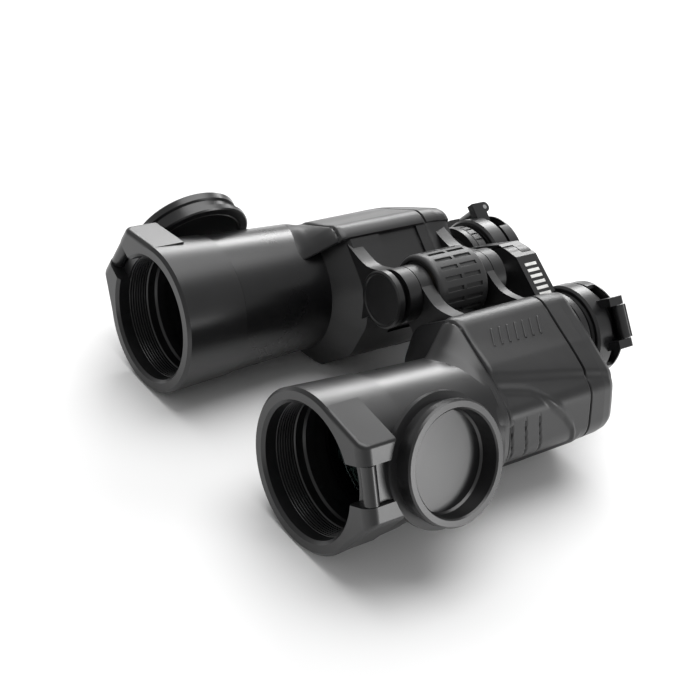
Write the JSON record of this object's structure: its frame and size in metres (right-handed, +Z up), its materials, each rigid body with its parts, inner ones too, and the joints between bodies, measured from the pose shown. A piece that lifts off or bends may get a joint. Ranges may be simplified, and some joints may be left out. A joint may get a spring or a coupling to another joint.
{
  "type": "binoculars",
  "caption": "Porro-prism binoculars with centre focusing wheel, hinged bridge, tapered lens hoods and hinged covers on both ends.",
  "frame": {"origin": "centre of the bottom face of the bounding box, on the surface the binoculars stand on, in the middle plane between the two tubes", "axes": "+X to the user's right, +Y forward from the eyepieces to the objectives, +Z up"},
  "size_m": [0.2142, 0.1794, 0.0746],
  "materials": {
    "hood_plastic": "fine moulded satin, black",
    "armour": "smooth semi-gloss rubber armour, black",
    "housing": "satin black lacquer on cast alloy",
    "cap_plastic": "moulded satin, black",
    "anodised": "black anodised, satin",
    "bridge_metal": "satin black lacquer",
    "wheel_rubber": "matt grip rubber, black",
    "eyecup_rubber": "soft matt rubber, black",
    "optical_glass": "polished and coated",
    "bright_steel": "ground bright steel",
    "spring_steel": "plain steel",
    "brass_insert": "turned brass"
  },
  "bodies": {
    "left_half": {"left_objective_hood": "hood_plastic", "left_objective_barrel": "armour", "left_prism_housing": "housing", "left_rear_cover": "housing", "left_objective_cell": "anodised", "left_crown_lens": "optical_glass", "left_flint_lens": "optical_glass", "left_retaining_ring": "anodised", "left_rear_prism": "optical_glass", "left_front_prism": "optical_glass", "left_rear_prism_clip": "spring_steel", "left_front_prism_clip": "spring_steel", "left_prism_shelf": "anodised", "left_upper_cover_screw": "spring_steel", "left_lower_cover_screw": "spring_steel", "left_cap_hinge_pin": "bright_steel", "hinge_axle": "anodised", "tripod_insert": "brass_insert"},
    "right_half": {"right_objective_hood": "hood_plastic", "right_objective_barrel": "armour", "right_prism_housing": "housing", "right_rear_cover": "housing", "right_objective_cell": "anodised", "right_crown_lens": "optical_glass", "right_flint_lens": "optical_glass", "right_retaining_ring": "anodised", "right_rear_prism": "optical_glass", "right_front_prism": "optical_glass", "right_rear_prism_clip": "spring_steel", "right_front_prism_clip": "spring_steel", "right_prism_shelf": "anodised", "right_upper_cover_screw": "spring_steel", "right_lower_cover_screw": "spring_steel", "right_cap_hinge_pin": "bright_steel"},
    "focus_wheel": {"focus_wheel": "wheel_rubber", "focus_nut": "brass_insert"},
    "left_ocular": {"left_eyepiece_arm": "bridge_metal", "bridge_shaft": "bright_steel", "bridge_end_cap": "bridge_metal", "left_eyepiece_barrel": "anodised", "left_field_lens": "optical_glass", "left_eye_lens": "optical_glass", "left_eyecup": "eyecup_rubber", "left_lid_ring": "cap_plastic", "left_lid_pin": "bright_steel"},
    "right_ocular": {"right_eyepiece_arm": "bridge_metal"},
    "right_eyepiece": {"right_eyepiece_barrel": "anodised", "right_field_lens": "optical_glass", "right_eye_lens": "optical_glass", "right_eyecup": "eyecup_rubber", "right_lid_ring": "cap_plastic", "right_lid_pin": "bright_steel"},
    "diopter_ring": {"diopter_ring": "wheel_rubber"},
    "left_objective_cap": {"left_objective_cap": "cap_plastic"},
    "right_objective_cap": {"right_objective_cap": "cap_plastic"},
    "left_eyepiece_lid": {"left_eyepiece_lid": "cap_plastic"},
    "right_eyepiece_lid": {"right_eyepiece_lid": "cap_plastic"},
    "socket_cap": {"socket_cap": "bridge_metal"}
  },
  "joints": [
    {"name": "interpupillary_hinge", "type": "hinge", "parent": "left_half", "child": "right_half", "pos_m": [0, 0, 0.0588], "axis": [0, 1, 0], "range_deg": [-38, 20]},
    {"name": "focus_wheel_turn", "type": "hinge", "parent": "left_half", "child": "focus_wheel", "pos_m": [0, 0, 0.0588], "axis": [0, 1, 0], "range_deg": [-107, 363]},
    {"name": "left_focus_slide", "type": "slide", "parent": "left_half", "child": "left_ocular", "axis": [0, -1, 0], "range_m": [-0.00175, 0.006]},
    {"name": "right_focus_slide", "type": "slide", "parent": "right_half", "child": "right_ocular", "axis": [0, -1, 0], "range_m": [-0.0018, 0.0061]},
    {"name": "diopter_turn", "type": "hinge", "parent": "right_ocular", "child": "diopter_ring", "pos_m": [0.0325, 0, 0.0408], "axis": [0, 1, 0], "range_deg": [-122, 122]},
    {"name": "diopter_slide", "type": "slide", "parent": "right_ocular", "child": "right_eyepiece", "axis": [0, -1, 0], "range_m": [-0.00138, 0.00138]},
    {"name": "left_objective_cap_hinge", "type": "hinge", "parent": "left_half", "child": "left_objective_cap", "pos_m": [-0.08946, 0.0855, 0.04814], "axis": [-0.4384, 0, -0.8988], "range_deg": [0, 272]},
    {"name": "left_eyepiece_lid_hinge", "type": "hinge", "parent": "left_ocular", "child": "left_eyepiece_lid", "pos_m": [-0.05141, -0.0857, 0.05558], "axis": [-0.6157, 0, -0.788], "range_deg": [0, 180]},
    {"name": "right_objective_cap_hinge", "type": "hinge", "parent": "right_half", "child": "right_objective_cap", "pos_m": [0.08946, 0.0855, 0.04814], "axis": [-0.4384, 0, 0.8988], "range_deg": [0, 272]},
    {"name": "right_eyepiece_lid_hinge", "type": "hinge", "parent": "right_eyepiece", "child": "right_eyepiece_lid", "pos_m": [0.05141, -0.0857, 0.05558], "axis": [-0.6157, 0, 0.788], "range_deg": [0, 180]},
    {"name": "socket_cap_withdrawal", "type": "slide", "parent": "left_half", "child": "socket_cap", "axis": [0, 1, 0], "range_m": [0, 0.012]}
  ],
  "couplings": [
    {"joint": "focus_wheel_turn", "follows": "left_focus_slide", "rad_per_m": 1047.2},
    {"joint": "right_focus_slide", "follows": "left_focus_slide", "ratio": 1},
    {"joint": "diopter_turn", "follows": "diopter_slide", "rad_per_m": 1515.2}
  ]
}
